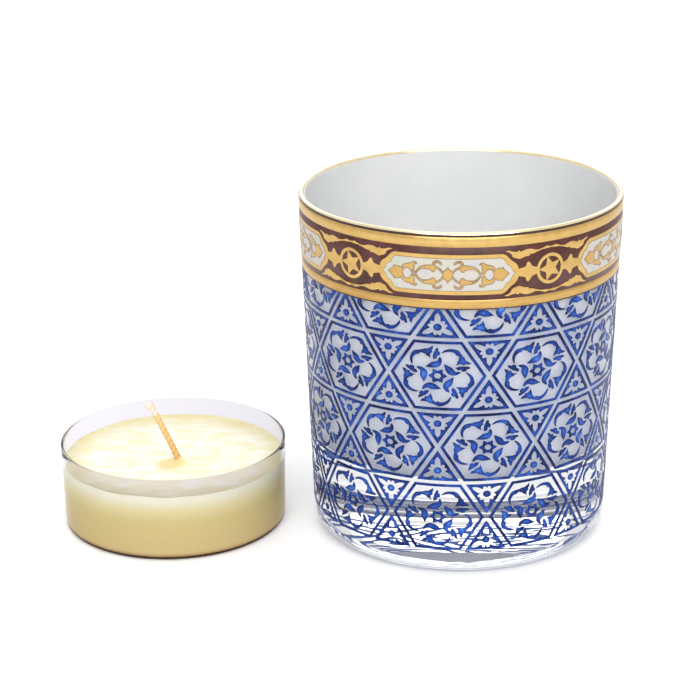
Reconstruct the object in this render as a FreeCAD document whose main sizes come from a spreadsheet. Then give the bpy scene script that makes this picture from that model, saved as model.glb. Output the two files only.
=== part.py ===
import FreeCAD, Part
import math
import os
import Sketcher

# Votive glass with its refill candle.
# Millimetres, +Z up, origin at the centre of the glass's foot on the table.
# -Y is the front. The candle stands on the table to the left of the glass.

V = FreeCAD.Vector

doc = FreeCAD.newDocument("VotiveGlass")
sheet = doc.addObject("Spreadsheet::Sheet", "Sizes")

DRIVING_SIZES = [
    # the glass
    ("glass_height", 90.3),
    ("rim_radius", 41.0),
    ("foot_radius", 38.0),
    ("foot_corner", 5.0),
    ("foot_dish_radius", 24.0),
    ("foot_dish_depth", 1.6),
    ("rim_wall", 1.3),
    ("rim_round", 0.6),
    ("floor_height", 25.0),
    ("floor_radius", 36.4),
    ("floor_corner", 6.0),
    ("lining_thick", 0.25),
    ("lining_drop", 0.65),
    # the fired layers on the outside, as heights above the table
    ("coat_thick", 0.15),
    ("line_bottom", 6.9),
    ("row_height", 18.86),
    ("hexagons_round", 10.0),
    ("strap_width", 1.05),
    ("border_width", 0.72),
    ("print_top", 71.35),
    ("low_gold_bottom", 71.45),
    ("brown_bottom", 73.6),
    ("brown_top", 86.8),
    ("gold_top", 89.6),
    ("cartouches_round", 5.0),
    ("cartouche_height", 79.95),
    ("cartouche_half_long", 17.2),
    ("cartouche_half_tall", 5.0),
    ("cartouche_frame", 0.9),
    ("roundel_radius", 3.85),
    ("roundel_ring", 0.8),
    ("cartouche_turn", -4.0),
    ("hexagon_turn", -7.5),
    # the candle
    ("candle_left", 75.4),
    ("candle_front", 2.3),
    ("cup_height", 22.4),
    ("cup_rim_radius", 29.6),
    ("cup_foot_radius", 29.25),
    ("cup_wall", 0.7),
    ("cup_corner", 1.5),
    ("wax_level", 17.1),
    ("wick_radius", 0.75),
    ("wick_off_x", 1.6),
    ("wick_off_y", -2.5),
    ("wick_lean_x", -6.9),
    ("wick_lean_y", 0.5),
    ("wick_top", 32.8),
    ("sustainer_radius", 9.0),
    ("sustainer_thick", 0.3),
    ("collar_radius", 1.6),
    ("collar_height", 3.2),
]

for row_number, (alias, value) in enumerate(DRIVING_SIZES, start=1):
    sheet.set("A%d" % row_number, alias)
    sheet.set("B%d" % row_number, str(value))
    sheet.setAlias("B%d" % row_number, alias)
doc.recompute()


def size(alias):
    """One driving size, read from the sheet."""
    return float(sheet.get(alias))


# ---------------------------------------------------------------- turned parts

def turned_body(label, corners):
    """A solid turned about +Z. corners are (radius, height) pairs of expressions;
    a radius of None puts the corner on the axis."""
    body = doc.addObject("PartDesign::Body", label)
    body.Label = label
    sketch = body.newObject("Sketcher::SketchObject", label + "_profile")
    plane = [f for f in body.Origin.OriginFeatures if f.Role == "XZ_Plane"][0]
    sketch.AttachmentSupport = [(plane, "")]
    sketch.MapMode = "FlatFace"
    count = len(corners)
    start = [V(0.0 if r is None else worked_out(r), worked_out(z), 0.0) for r, z in corners]
    for i in range(count):
        sketch.addGeometry(Part.LineSegment(start[i], start[(i + 1) % count]), False)
    for i in range(count):
        sketch.addConstraint(Sketcher.Constraint("Coincident", i, 2, (i + 1) % count, 1))
    for i, (radius, height) in enumerate(corners):
        if radius is None:
            sketch.addConstraint(Sketcher.Constraint("PointOnObject", i, 1, -2))
        else:
            bind(sketch, Sketcher.Constraint("DistanceX", -1, 1, i, 1, start[i].x), radius)
        if height == "0":
            sketch.addConstraint(Sketcher.Constraint("PointOnObject", i, 1, -1))
        else:
            bind(sketch, Sketcher.Constraint("DistanceY", -1, 1, i, 1, start[i].y), height)
    turned = body.newObject("PartDesign::Revolution", label + "_turned")
    turned.Profile = sketch
    turned.ReferenceAxis = (sketch, ["V_Axis"])
    turned.Angle = 360.0
    sketch.Visibility = False
    body.Tip = turned
    doc.recompute()
    return body


def bind(sketch, constraint, expression):
    """Add a constraint whose value follows an expression on the sheet."""
    index = sketch.addConstraint(constraint)
    sketch.setExpression("Constraints[%d]" % index, in_sheet(expression))


def in_sheet(expression):
    """Write the size names of an expression as references to the sheet."""
    words = expression.replace("(", " ( ").replace(")", " ) ").split()
    named = ["Sizes." + w if w[0].isalpha() else w for w in words]
    return " ".join(named)


def worked_out(expression):
    """The number an expression gives, from the same sizes."""
    words = expression.replace("(", " ( ").replace(")", " ) ").split()
    probe = FreeCAD.Units.parseQuantity
    numbers = [str(size(w)) if w[0].isalpha() else w for w in words]
    return probe(" ".join(numbers)).Value


def round_edges(body, radius_name, wanted):
    """Round the circular edges lying at the wanted (radius, height) places."""
    base = body.Tip
    names = []
    for number, edge in enumerate(base.Shape.Edges, start=1):
        curve = edge.Curve
        if not hasattr(curve, "Radius"):
            continue
        for radius, height in wanted:
            if abs(curve.Radius - radius) < 0.02 and abs(curve.Center.z - height) < 0.02:
                names.append("Edge%d" % number)
    fillet = body.newObject("PartDesign::Fillet", body.Label + "_" + radius_name.replace(" ", ""))
    fillet.Base = (base, names)
    fillet.setExpression("Radius", in_sheet(radius_name))
    body.Tip = fillet
    doc.recompute()


# The straight outside wall is a cone; its radius at any height, as words and as a number.
WALL_AT = "( foot_radius + ( rim_radius - foot_radius ) * ( %s ) / glass_height )"


def wall_at(height):
    slope = (size("rim_radius") - size("foot_radius")) / size("glass_height")
    return size("foot_radius") + slope * height


# The cavity wall, straight from the floor to the rim.
CAVITY_AT = ("( floor_radius + ( rim_radius - rim_wall - floor_radius ) * ( %s - floor_height )"
             " / ( glass_height - floor_height ) )")


def cavity_at(height):
    rise = (height - size("floor_height")) / (size("glass_height") - size("floor_height"))
    return size("floor_radius") + (size("rim_radius") - size("rim_wall") - size("floor_radius")) * rise


# Pressed glass: a straight tapered wall on a thick base.
glass_body = turned_body("glass_body", [
    (None, "0"),
    ("foot_radius", "0"),
    ("rim_radius", "glass_height"),
    ("rim_radius - rim_wall", "glass_height"),
    ("floor_radius", "floor_height"),
    (None, "floor_height"),
])
round_edges(glass_body, "foot_corner", [(size("foot_radius"), 0.0)])
round_edges(glass_body, "floor_corner", [(size("floor_radius"), size("floor_height"))])
round_edges(glass_body, "rim_round", [
    (size("rim_radius"), size("glass_height")),
    (size("rim_radius") - size("rim_wall"), size("glass_height")),
])

# Its underside is hollowed a little inside a flat ring that it stands on.
DISH_SPHERE = ("( foot_dish_radius * foot_dish_radius + foot_dish_depth * foot_dish_depth )"
               " / ( 2 * foot_dish_depth )")
foot_dish = glass_body.newObject("PartDesign::SubtractiveSphere", "foot_dish")
foot_dish.Radius = worked_out(DISH_SPHERE)
foot_dish.setExpression("Radius", in_sheet(DISH_SPHERE))
foot_dish.setExpression("Placement.Base.z", in_sheet("foot_dish_depth - " + DISH_SPHERE))
glass_body.Tip = foot_dish
doc.recompute()

# White enamel fired on the inside, following the cavity.
LINING_TOP = "glass_height - lining_drop"
white_lining = turned_body("white_lining", [
    (None, "floor_height"),
    ("floor_radius", "floor_height"),
    (CAVITY_AT % "( glass_height - lining_drop )", LINING_TOP),
    (CAVITY_AT % "( glass_height - lining_drop )" + " - lining_thick", LINING_TOP),
    ("floor_radius - lining_thick", "floor_height + lining_thick"),
    (None, "floor_height + lining_thick"),
])
round_edges(white_lining, "floor_corner", [(size("floor_radius"), size("floor_height"))])
round_edges(white_lining, "floor_corner - lining_thick",
            [(size("floor_radius") - size("lining_thick"),
              size("floor_height") + size("lining_thick"))])


def coat_band(label, bottom, top):
    """A plain band of enamel or gold round the outside wall."""
    return turned_body(label, [
        (WALL_AT % bottom, bottom),
        (WALL_AT % bottom + " + coat_thick", bottom),
        (WALL_AT % top + " + coat_thick", top),
        (WALL_AT % top, top),
    ])


lower_gold_band = coat_band("lower_gold_band", "low_gold_bottom", "brown_bottom")
brown_enamel_band = coat_band("brown_enamel_band", "brown_bottom", "brown_top")
upper_gold_band = coat_band("upper_gold_band", "brown_top", "gold_top")

# Gold over the rounded rim: a rounded ring with the glass cut out of it.
lip_blank = turned_body("lip_blank", [
    (CAVITY_AT % "( glass_height - lining_drop )" + " - coat_thick", LINING_TOP),
    (WALL_AT % "( glass_height - lining_drop )" + " + coat_thick", LINING_TOP),
    ("rim_radius + coat_thick", "glass_height + coat_thick"),
    ("rim_radius - rim_wall - coat_thick", "glass_height + coat_thick"),
])
round_edges(lip_blank, "rim_round + coat_thick", [
    (size("rim_radius") + size("coat_thick"), size("glass_height") + size("coat_thick")),
    (size("rim_radius") - size("rim_wall") - size("coat_thick"),
     size("glass_height") + size("coat_thick")),
])
gold_lip = doc.addObject("Part::Cut", "gold_lip")
gold_lip.Label = "gold_lip"
gold_lip.Base = lip_blank
gold_lip.Tool = glass_body
doc.recompute()


# ------------------------------------------------------- layers wrapped on the wall

def coat_shell(layer, bottom, top):
    """The thin conical shell one coat fills; layer 0 lies on the glass."""
    inner = layer * size("coat_thick")
    outer = inner + size("coat_thick")
    corners = [
        V(wall_at(bottom) + inner, 0, bottom),
        V(wall_at(bottom) + outer, 0, bottom),
        V(wall_at(top) + outer, 0, top),
        V(wall_at(top) + inner, 0, top),
    ]
    profile = Part.Face(Part.makePolygon(corners + corners[:1]))
    return profile.revolve(V(0, 0, 0), V(0, 0, 1), 360)


def wrapped_wire(outline, scale_across, height):
    """An outline of (across, up) points carried to the plane facing the front,
    placed so that a radial punch lands each point where it belongs on the wall."""
    standoff = -0.6 * size("foot_radius")
    corners = []
    for across, up in outline:
        level = height + up
        side = wall_at(level) * math.sin(across * scale_across)
        corners.append(V(side, standoff, level))
    return Part.makePolygon(corners + corners[:1])


def punched(shell, outline, scale_across, height, holes=()):
    """The piece of a shell inside an outline and outside its holes."""
    face = Part.Face(wrapped_wire(outline, scale_across, height))
    for hole in holes:
        face = face.cut(Part.Face(wrapped_wire(hole, scale_across, height)))
    prism = face.extrude(V(0, -size("rim_radius"), 0))
    return shell.common(prism)


def round_about(pieces, count, first_turn):
    """Copies of the pieces at equal turns about the axis."""
    copies = []
    for number in range(count):
        for piece in pieces:
            copy = piece.copy()
            copy.rotate(V(0, 0, 0), V(0, 0, 1), first_turn + number * 360.0 / count)
            copies.extend(copy.Solids)
    return copies


def printed(label, solids):
    """One node holding the solids of one print."""
    node = doc.addObject("Part::Feature", label)
    node.Label = label
    node.Shape = Part.makeCompound(solids)
    return node


def turned_outline(points, angle):
    """Points turned about their origin, degrees."""
    c = math.cos(math.radians(angle))
    s = math.sin(math.radians(angle))
    return [(x * c - y * s, x * s + y * c) for x, y in points]


def mirrored(points, across=False, up=False):
    flipped = [(-x if across else x, -y if up else y) for x, y in points]
    return flipped[::-1] if across != up else flipped


def moved(points, across, up):
    return [(x + across, y + up) for x, y in points]


def polygon(radius, count, first_angle=0.0):
    return [(radius * math.cos(math.radians(first_angle + i * 360.0 / count)),
             radius * math.sin(math.radians(first_angle + i * 360.0 / count)))
            for i in range(count)]


def star(outer, inner, points, first_angle=0.0):
    outline = []
    for i in range(points * 2):
        reach = outer if i % 2 == 0 else inner
        turn = math.radians(first_angle + i * 180.0 / points)
        outline.append((reach * math.cos(turn), reach * math.sin(turn)))
    return outline


# ---- the blue lattice: flat-topped hexagons with two triangles between neighbours
ROW_HEIGHT = size("row_height")
HEX_SIDE = ROW_HEIGHT / math.sqrt(3.0)
HEX_COUNT = int(size("hexagons_round"))
# One unit across the regular pattern is this much turn, so that it closes round the glass.
LATTICE_SCALE = 2.0 * math.pi / HEX_COUNT / (2.0 * HEX_SIDE)
BAND_SCALE = 1.0 / size("rim_radius")


def hexagon(inset):
    """A hexagon whose sides lie inside the lattice lines by the inset."""
    return polygon(HEX_SIDE - inset * 2.0 / math.sqrt(3.0), 6)


def triangle(inset):
    """An upright triangle of the lattice, about its own centre."""
    return polygon(HEX_SIDE / math.sqrt(3.0) - inset * 2.0, 3, 90.0)


def blossom():
    """The three-lobed flower left clear in each triangle."""
    outline = []
    for lobe in range(3):
        tip = 90.0 + 120.0 * lobe
        for reach, turn in ((4.3, 0), (2.4, 13), (1.9, 27), (2.2, 40), (1.7, 60),
                            (2.2, 80), (1.9, 93), (2.4, 107)):
            angle = math.radians(tip + turn)
            outline.append((reach * math.cos(angle), reach * math.sin(angle)))
    return outline


# One of the five inner leaves and one of the five outer sprays of a hexagon's rosette.
INNER_LEAF = [(0.6, 4.9), (0.2, 3.6), (-1.1, 2.9), (-2.4, 2.3), (-1.7, 3.3), (-0.6, 3.7), (0.0, 4.6)]
OUTER_SPRAY = [(0.9, 6.5), (2.2, 7.1), (3.7, 6.9), (4.9, 6.0), (5.6, 4.9), (7.0, 3.3), (5.0, 3.1),
               (4.4, 3.9), (4.6, 5.1), (3.6, 6.2), (2.2, 6.6)]
OUTER_BUD = [(4.3, 2.5), (6.6, 2.5), (6.0, 1.7), (5.2, 1.2), (4.4, 1.7)]

border_pieces = []
rosette_pieces = []
trefoil_pieces = []
inset = size("strap_width") / 2.0
for row in range(4):
    centre = size("line_bottom") + (row + 0.5) * ROW_HEIGHT
    top = min(centre + ROW_HEIGHT / 2.0, size("print_top"))
    shell = coat_shell(0, centre - ROW_HEIGHT / 2.0, top)
    row_turn = size("hexagon_turn") + (180.0 / HEX_COUNT if row % 2 else 0.0)
    ring = punched(shell, hexagon(inset), LATTICE_SCALE, centre,
                   [hexagon(inset + size("border_width"))])
    border_pieces.extend(round_about([ring], HEX_COUNT, row_turn))

    flower = [punched(shell, star(2.0, 1.35, 7, 90.0), LATTICE_SCALE, centre,
                      [polygon(0.8, 12)])]
    for arm in range(5):
        for shape in (INNER_LEAF, OUTER_SPRAY, OUTER_BUD):
            flower.append(punched(shell, turned_outline(shape, -72.0 * arm),
                                  LATTICE_SCALE, centre))
    rosette_pieces.extend(round_about(flower, HEX_COUNT, row_turn))

    third = HEX_SIDE / math.sqrt(3.0) / 2.0
    upright = centre - ROW_HEIGHT / 2.0 + third
    hanging = centre + ROW_HEIGHT / 2.0 - third
    fields = [punched(shell, triangle(inset), LATTICE_SCALE, upright, [blossom()]),
              punched(shell, polygon(0.95, 12), LATTICE_SCALE, upright)]
    if hanging < size("print_top"):
        hung = mirrored(triangle(inset), up=True)
        fields.append(punched(shell, hung, LATTICE_SCALE, hanging,
                              [mirrored(blossom(), up=True)]))
        fields.append(punched(shell, polygon(0.95, 12), LATTICE_SCALE, hanging))
    trefoil_pieces.extend(round_about(fields, HEX_COUNT, row_turn + 180.0 / HEX_COUNT))

printed("blue_hexagon_borders", border_pieces)
printed("blue_rosettes", rosette_pieces)
printed("blue_trefoil_triangles", trefoil_pieces)

# ---- the gilded band: cartouches and star roundels in turn, five of each
BAND_COUNT = int(size("cartouches_round"))
BAND_MIDDLE = size("cartouche_height")
LONG = size("cartouche_half_long")
TALL = size("cartouche_half_tall")
FRAME = size("cartouche_frame")


def cartouche(half_long, half_tall):
    """A long panel whose ends step in to a point."""
    corner = [
        (half_long - 4.5, half_tall),
        (half_long - 3.1, half_tall * 0.78),
        (half_long - 2.0, half_tall * 0.52),
        (half_long - 1.2, half_tall * 0.28),
        (half_long, 0.0),
    ]
    right = corner + [(x, -y) for x, y in corner[-2::-1]]
    return right + [(-x, -y) for x, y in right]


def leaf_spray():
    """A wavy leaf running out from the knot over a roundel, to its tip."""
    return [(0.25, 5.2), (2.2, 4.5), (4.4, 3.7), (6.4, 2.6), (8.3, 3.1), (8.0, 4.1),
            (11.2, 5.6), (8.6, 5.4), (6.6, 4.9), (4.6, 5.5), (2.4, 5.6), (0.25, 5.8)]


def finial():
    """The small three-pointed leaf between a roundel and a cartouche."""
    return [(4.0, -0.6), (5.2, -1.0), (6.3, -2.4), (6.7, -1.2), (8.2, -0.7), (9.0, 0.0),
            (8.2, 0.7), (6.7, 1.2), (6.3, 2.4), (5.2, 1.0), (4.0, 0.6)]


def scrolls():
    """The arabesque of one cartouche: a lozenge, two pairs of leaf scrolls, two palmettes."""
    lozenge = [(0.0, 1.9), (1.0, 0.9), (1.0, -0.9), (0.0, -1.9), (-1.0, -0.9), (-1.0, 0.9)]
    arm = [(1.2, 1.0), (2.4, 2.2), (3.0, 3.2), (3.8, 2.6), (6.2, 1.9), (8.0, 0.3), (7.6, 0.3),
           (5.8, 1.4), (4.0, 1.2), (3.0, 1.7), (1.5, 0.8)]
    branch = [(8.2, 0.4), (7.9, 2.6), (9.6, 2.3), (11.0, 1.0), (9.6, 1.5), (8.9, 0.7)]
    palmette = [(11.1, 0.6), (12.1, 1.5), (13.1, 1.2), (14.2, 0.0), (13.1, -1.2), (12.1, -1.5),
                (11.1, -0.6)]
    found = [lozenge, palmette, mirrored(palmette, across=True)]
    for shape in (arm, branch):
        for left in (False, True):
            for low in (False, True):
                found.append(mirrored(shape, across=left, up=low))
    return found


low = BAND_MIDDLE - TALL - 0.5
high = BAND_MIDDLE + TALL + 1.4
first_coat = coat_shell(1, low, high)
second_coat = coat_shell(2, low, high)
cartouche_turn = size("cartouche_turn")
roundel_turn = cartouche_turn + 180.0 / BAND_COUNT

frame = punched(first_coat, cartouche(LONG, TALL), BAND_SCALE, BAND_MIDDLE,
                [cartouche(LONG - FRAME * 1.4, TALL - FRAME)])
printed("cartouche_frames", round_about([frame], BAND_COUNT, cartouche_turn))

panel = punched(first_coat, cartouche(LONG - FRAME * 1.4, TALL - FRAME), BAND_SCALE, BAND_MIDDLE)
printed("cartouche_panels", round_about([panel], BAND_COUNT, cartouche_turn))

arabesque = [punched(second_coat, shape, BAND_SCALE, BAND_MIDDLE) for shape in scrolls()]
printed("cartouche_scrolls", round_about(arabesque, BAND_COUNT, cartouche_turn))

ROUNDEL = size("roundel_radius")
ring = punched(first_coat, polygon(ROUNDEL, 36), BAND_SCALE, BAND_MIDDLE,
               [polygon(ROUNDEL - size("roundel_ring"), 36)])
printed("roundel_rings", round_about([ring], BAND_COUNT, roundel_turn))

five_points = punched(first_coat, star(ROUNDEL - size("roundel_ring") - 0.02, 1.15, 5, 180.0),
                      BAND_SCALE, BAND_MIDDLE)
printed("roundel_stars", round_about([five_points], BAND_COUNT, roundel_turn))

leaves = []
for left in (False, True):
    leaves.append(punched(first_coat, mirrored(finial(), across=left), BAND_SCALE, BAND_MIDDLE))
    for below in (False, True):
        leaves.append(punched(first_coat, mirrored(leaf_spray(), across=left, up=below),
                              BAND_SCALE, BAND_MIDDLE))
printed("gold_leaves", round_about(leaves, BAND_COUNT, roundel_turn))


# ------------------------------------------------------------------ the candle

candle_place = FreeCAD.Placement(V(-size("candle_left"), -size("candle_front"), 0),
                                 FreeCAD.Rotation())
CUP_AT = ("( cup_foot_radius + ( cup_rim_radius - cup_foot_radius ) * ( %s )"
          " / cup_height )")

candle_cup = turned_body("candle_cup", [
    (None, "0"),
    ("cup_foot_radius", "0"),
    ("cup_rim_radius", "cup_height"),
    ("cup_rim_radius - cup_wall", "cup_height"),
    (CUP_AT % "cup_wall" + " - cup_wall", "cup_wall"),
    (None, "cup_wall"),
])
inner_foot = worked_out(CUP_AT % "cup_wall" + " - cup_wall")
round_edges(candle_cup, "cup_corner", [(size("cup_foot_radius"), 0.0)])
round_edges(candle_cup, "cup_corner - cup_wall", [(inner_foot, size("cup_wall"))])

# A stamped disc with an upright collar that grips the wick.
wick_sustainer = turned_body("wick_sustainer", [
    ("wick_radius", "cup_wall"),
    ("sustainer_radius", "cup_wall"),
    ("sustainer_radius", "cup_wall + sustainer_thick"),
    ("collar_radius", "cup_wall + sustainer_thick"),
    ("collar_radius", "cup_wall + collar_height"),
    ("wick_radius", "cup_wall + collar_height"),
])


def wick_shape():
    """Upright through the wax, then leaning over to one side."""
    foot = V(size("wick_off_x"), size("wick_off_y"), size("cup_wall"))
    bend = V(foot.x, foot.y, size("wax_level") - 1.2)
    tip = V(foot.x + size("wick_lean_x"), foot.y + size("wick_lean_y"), size("wick_top"))
    leaning = bend + (tip - bend) * 0.25
    upright = Part.LineSegment(foot, bend).toShape()
    curve = Part.BezierCurve()
    curve.setPoles([bend, V(bend.x, bend.y, bend.z + 2.5), leaning, tip])
    path = Part.Wire([upright, curve.toShape()])
    ring_wire = Part.Wire([Part.Circle(foot, V(0, 0, 1), size("wick_radius")).toShape()])
    return path.makePipeShell([ring_wire], True, True)


wick = doc.addObject("Part::Feature", "wick")
wick.Label = "wick"
wick.Shape = wick_shape()

# Wax poured round the sustainer and the wick, up to its level.
wax_block = turned_body("wax_block", [
    (None, "cup_wall"),
    (CUP_AT % "cup_wall" + " - cup_wall", "cup_wall"),
    (CUP_AT % "wax_level" + " - cup_wall", "wax_level"),
    (None, "wax_level"),
])
round_edges(wax_block, "cup_corner - cup_wall", [(inner_foot, size("cup_wall"))])
to_the_wick = FreeCAD.Placement(V(size("wick_off_x"), size("wick_off_y"), 0),
                                FreeCAD.Rotation())
candle_cup.Placement = candle_place
wax_block.Placement = candle_place
wick.Placement = candle_place
wick_sustainer.Placement = candle_place.multiply(to_the_wick)
doc.recompute()

wax_on_disc = doc.addObject("Part::Cut", "wax_on_disc")
wax_on_disc.Base = wax_block
wax_on_disc.Tool = wick_sustainer
doc.recompute()
wax = doc.addObject("Part::Cut", "wax")
wax.Label = "wax"
wax.Base = wax_on_disc
wax.Tool = wick

# ------------------------------------------------------------------ check and write

NODES = [
    "glass_body", "white_lining", "gold_lip", "upper_gold_band", "brown_enamel_band",
    "lower_gold_band", "cartouche_frames", "cartouche_panels", "cartouche_scrolls",
    "roundel_rings", "roundel_stars", "gold_leaves", "blue_hexagon_borders", "blue_rosettes",
    "blue_trefoil_triangles", "candle_cup", "wax", "wick", "wick_sustainer",
]

doc.recompute()
os.makedirs("parts", exist_ok=True)
for thing in doc.Objects:
    if "Invalid" in thing.State or "Error" in thing.State:
        raise RuntimeError("%s did not compute" % thing.Label)
for label in NODES:
    node = doc.getObjectsByLabel(label)[0]
    if node.Shape.isNull() or not node.Shape.isValid():
        raise RuntimeError("%s has no valid shape" % label)
    node.Shape.exportStep(os.path.join("parts", label + ".step"))
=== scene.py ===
import math

import bmesh
import bpy
import numpy as np
from mathutils import Matrix, Vector, noise
from mathutils.geometry import delaunay_2d_cdt


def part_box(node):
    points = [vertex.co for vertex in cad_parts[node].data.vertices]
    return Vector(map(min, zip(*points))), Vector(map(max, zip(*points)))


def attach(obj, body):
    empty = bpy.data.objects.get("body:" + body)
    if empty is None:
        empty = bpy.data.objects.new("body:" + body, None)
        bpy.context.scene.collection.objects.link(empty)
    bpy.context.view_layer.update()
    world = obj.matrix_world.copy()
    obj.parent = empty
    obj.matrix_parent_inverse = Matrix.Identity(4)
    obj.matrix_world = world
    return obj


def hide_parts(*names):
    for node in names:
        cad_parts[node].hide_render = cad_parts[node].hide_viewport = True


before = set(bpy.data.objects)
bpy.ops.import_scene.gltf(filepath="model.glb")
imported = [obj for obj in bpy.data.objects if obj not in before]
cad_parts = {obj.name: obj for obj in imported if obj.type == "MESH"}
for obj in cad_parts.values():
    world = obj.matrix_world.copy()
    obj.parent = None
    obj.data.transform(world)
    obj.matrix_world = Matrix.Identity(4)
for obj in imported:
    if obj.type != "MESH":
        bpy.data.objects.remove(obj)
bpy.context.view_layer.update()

MM = 0.001


# ---- sizes, in millimetres

def corners_of(node):
    """A CAD node's lowest and highest corners, to a hundredth of a millimetre."""
    low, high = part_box(node)
    return [round(c / MM, 2) for c in low], [round(c / MM, 2) for c in high]


def heights_of(node):
    """The heights of a CAD node's bottom and top."""
    low, high = corners_of(node)
    return low[2], high[2]


# The glass. The frame gives its heights.
GLASS_HEIGHT = heights_of("glass_body")[1]
RIM_RADIUS = 41.0
FOOT_RADIUS = 38.0
FOOT_CORNER = 5.0
FOOT_FLARE = 0.15
DISH_RADIUS = 24.0
DISH_DEPTH = 1.6
RIM_WALL = 1.3
FLOOR_HEIGHT, LINING_TOP = heights_of("white_lining")
FLOOR_RADIUS = 36.4
FLOOR_CORNER = 6.0
LINING_THICK = 0.25

# The blue lattice: rows of hexagons with straps left clear between them.
LINE_BOTTOM = 6.9
ROW_HEIGHT = 18.86
HEX_COUNT = 10
STRAP_WIDTH = 0.92
BORDER_WIDTH = 0.68
HEX_TURN = -7.5
PRINT_TOP = heights_of("blue_hexagon_borders")[1]

# The gilded band, with dark lines along its outer edges: a painted dark reflection under the lip
# and a painted shadow under the lower gold.
PAINTED_REFLECTION_UNDER_LIP = 0.22
PAINTED_SHADOW_UNDER_GOLD = 0.3
LIP_OVERLAP = 0.3
LOW_GOLD = heights_of("lower_gold_band")
HIGH_GOLD = (heights_of("brown_enamel_band")[1], heights_of("upper_gold_band")[1] - LIP_OVERLAP)
BAND_MIDDLE = sum(heights_of("cartouche_frames")) / 2.0
BAND_COUNT = 5
CARTOUCHE_TURN = -4.0
ROUNDEL_RADIUS = 3.85
ROUNDEL_RING = 0.8

# The candle. The frame gives its place, its height, its width and the wax's bottom and top,
# and the wax stands on a floor as thick as the cup's wall. The wick's place is from the middle.
CUP_LOW, CUP_HIGH = corners_of("candle_cup")
CANDLE_X = (CUP_LOW[0] + CUP_HIGH[0]) / 2.0
CANDLE_Y = (CUP_LOW[1] + CUP_HIGH[1]) / 2.0
CUP_HEIGHT = CUP_HIGH[2]
CUP_RIM_RADIUS = (CUP_HIGH[0] - CUP_LOW[0]) / 2.0
CUP_FOOT_RADIUS = 29.25
CUP_WALL, WAX_LEVEL = heights_of("wax")
CUP_CORNER = 1.5
WICK_X = 2.2
WICK_Y = -3.2
WICK_TIP = 32.9
WICK_BENDS_AT = 15.0
WICK_LEAN = 0.48
STRAND_COUNT = 3
STRAND_OFFSET = 0.36
STRAND_RADIUS = 0.58
STRAND_PITCH = 4.2
BEAD_RADIUS = 1.25

# How far a coat reaches into the glass, so that no air shows between them, and how far out.
ROOTED = -0.05
PRINT_PROUD = 0.12
BAND_PROUD = 0.10
ORNAMENT_PROUD = 0.24
SCROLL_PROUD = 0.34

# How many sides the round pieces have.
GLASS_SIDES = 256
COAT_SIDES = 360
CANDLE_SIDES = 192

# The camera, in metres and degrees.
CAMERA_PLACE = (0.0, -0.5206, 0.2328)
CAMERA_YAW = -3.128
CAMERA_PITCH = 19.675
CAMERA_ROLL = -0.63
CAMERA_LENS = 109.23


def wall_radius(height):
    """Outside radius of the glass's straight wall at a height."""
    return FOOT_RADIUS + (RIM_RADIUS - FOOT_RADIUS) * height / GLASS_HEIGHT


def cavity_radius(height):
    """Radius of the cavity at a height."""
    rise = (height - FLOOR_HEIGHT) / (GLASS_HEIGHT - FLOOR_HEIGHT)
    return FLOOR_RADIUS + (RIM_RADIUS - RIM_WALL - FLOOR_RADIUS) * rise


# ---- node materials

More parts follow.
